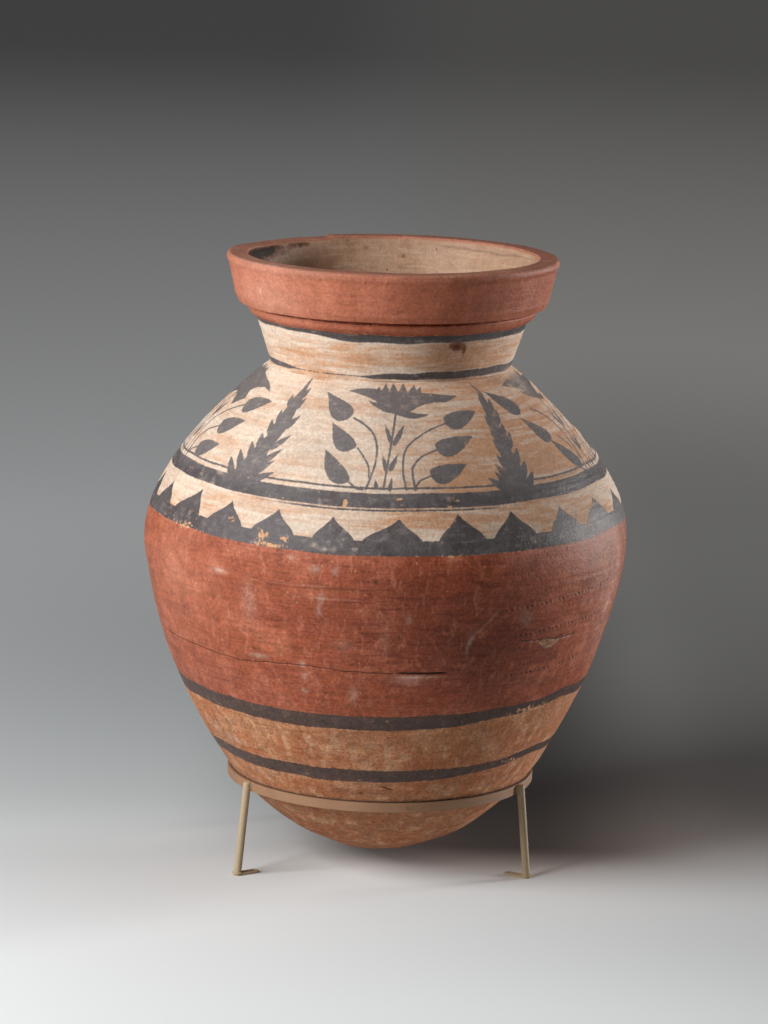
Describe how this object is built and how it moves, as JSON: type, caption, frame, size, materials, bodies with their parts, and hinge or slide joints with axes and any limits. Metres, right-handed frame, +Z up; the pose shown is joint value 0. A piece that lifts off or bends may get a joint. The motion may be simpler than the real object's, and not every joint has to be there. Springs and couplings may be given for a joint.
{
  "type": "painted storage jar on ring stand",
  "caption": "Painted earthenware storage jar with a rounded-point base, flaring neck and thick rim collar, seated loose in a legged ring stand with screw-down feet.",
  "frame": {"origin": "on the floor, on the jar's axis", "axes": "+Z up along the jar's axis; -Y is the front, which the picture shows from 3 degrees to the left; +X to its right"},
  "size_m": [0.6221, 0.622, 0.794],
  "materials": {
    "bare_clay": "unglazed, wiped",
    "red_slip": "red slip, brushed, matt",
    "cream_slip": "cream slip, brushed, matt",
    "hoop_paint": "matt clay-tan paint",
    "leg_paint": "satin khaki paint",
    "liner_felt": "dark brown felt"
  },
  "bodies": {
    "stand": {"stand_ring": "hoop_paint", "ring_liner": "liner_felt", "leg_left": "leg_paint", "foot_left": "leg_paint", "leg_right": "leg_paint", "foot_right": "leg_paint", "leg_rear": "leg_paint", "foot_rear": "leg_paint"},
    "pithos": {"base_bowl": "bare_clay", "lower_wall": "red_slip", "belly_wall": "red_slip", "shoulder": "cream_slip", "neck": "cream_slip", "rim_collar": "red_slip"}
  },
  "joints": [
    {"name": "lift_out", "type": "slide", "parent": "stand", "child": "pithos", "axis": [0, 0, 1], "range_m": [0, 0.15]}
  ]
}
